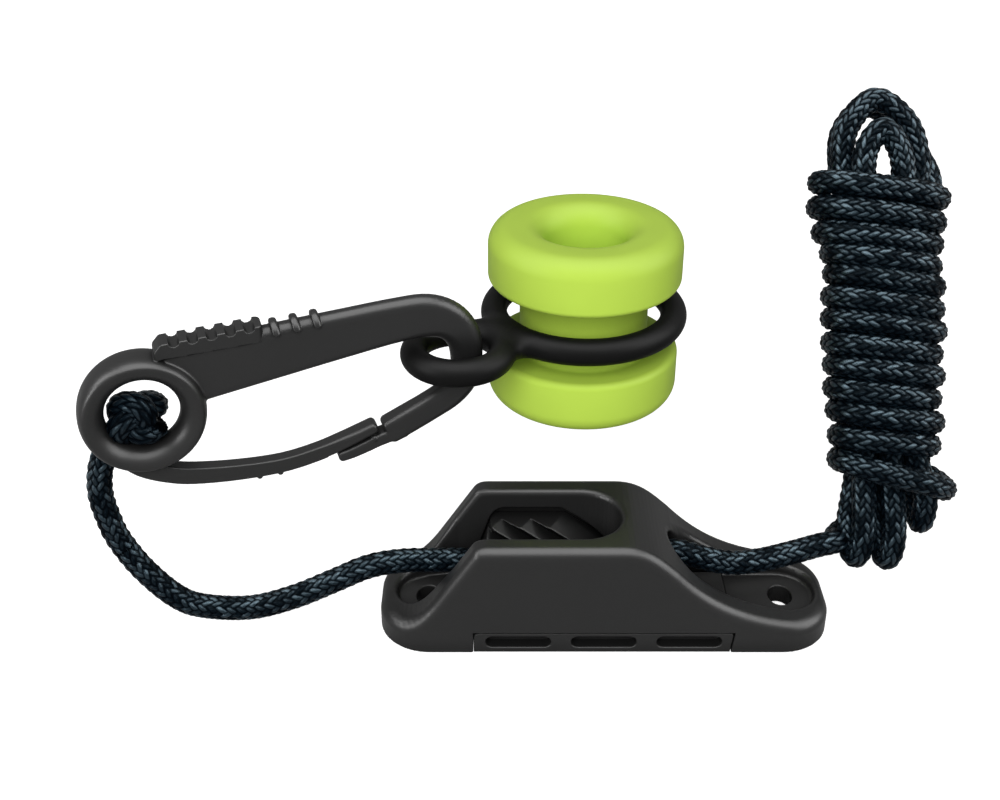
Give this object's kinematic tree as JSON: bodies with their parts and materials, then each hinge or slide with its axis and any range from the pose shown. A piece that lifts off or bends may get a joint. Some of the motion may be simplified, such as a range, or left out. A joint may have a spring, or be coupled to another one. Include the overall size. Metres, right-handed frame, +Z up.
{
  "type": "line cleat with snap-hook lead",
  "caption": "Base-mounted jam cleat on a braided cord: one end carries a snap hook, a figure-eight rubber ring and a bobbin, the other is coiled into a hank.",
  "frame": {"origin": "centre of the cleat's mounting face, midway between its two screw holes", "axes": "+Z up out of the mounting face, +X along the cleat from the hook side to the hank side, +Y towards the side on which the bobbin hangs"},
  "size_m": [0.1759, 0.069, 0.0971],
  "materials": {
    "black_nylon": "satin moulded glass-filled nylon with a fine spark texture",
    "black_rubber": "smooth satin rubber",
    "lime_rubber": "matte lime-green rubber",
    "braided_cord": "tight 16-plait polyester braid, black with a navy cast"
  },
  "bodies": {
    "cleat": {"cleat_housing": "black_nylon", "jaw_insert": "black_nylon"},
    "line": {"line_in_cleat": "braided_cord"},
    "lead": {"line_lead": "braided_cord"},
    "eye_line": {"line_riser": "braided_cord", "stopper_knot": "braided_cord"},
    "hook": {"snap_hook_body": "black_nylon"},
    "gate": {"snap_hook_gate": "black_nylon"},
    "ring": {"double_ring": "black_rubber"},
    "bobbin": {"bobbin": "lime_rubber"},
    "hank": {"line_tail": "braided_cord", "hank_bights": "braided_cord", "hank_wraps": "braided_cord"}
  },
  "joints": [
    {"name": "line_run", "type": "slide", "parent": "cleat", "child": "line", "axis": [1, 0, 0], "range_m": [-0.006, 0.006]},
    {"name": "lead_swing", "type": "hinge", "parent": "line", "child": "lead", "pos_m": [-0.03505, 0, 0.0133], "axis": [0, 0, 1], "range_deg": [-12, 12]},
    {"name": "lead_twist", "type": "hinge", "parent": "lead", "child": "eye_line", "pos_m": [-0.0997, -0.00495, 0.0274], "axis": [0, 0, 1], "range_deg": [-20, 20]},
    {"name": "hook_tilt", "type": "hinge", "parent": "eye_line", "child": "hook", "pos_m": [-0.0887, -0.0099, 0.0554], "axis": [0.2924, -0.9563, 0], "range_deg": [-4, 25]},
    {"name": "gate_press", "type": "hinge", "parent": "hook", "child": "gate", "pos_m": [-0.08593, -0.00905, 0.0411], "axis": [0.2924, -0.9563, 0], "range_deg": [0, 14], "stiffness_Nm_per_rad": 0.05},
    {"name": "ring_swing", "type": "hinge", "parent": "hook", "child": "ring", "pos_m": [-0.02874, 0.00843, 0.0572], "axis": [0, 0, 1], "range_deg": [-135, 95]},
    {"name": "bobbin_spin", "type": "hinge", "parent": "ring", "child": "bobbin", "pos_m": [-0.0045, 0.028, 0.0575], "axis": [0, 0, 1], "continuous": true},
    {"name": "hank_swing", "type": "hinge", "parent": "line", "child": "hank", "pos_m": [0.03845, 0.0022, 0.01345], "axis": [0, 1, 0], "range_deg": [-10, 10]}
  ]
}
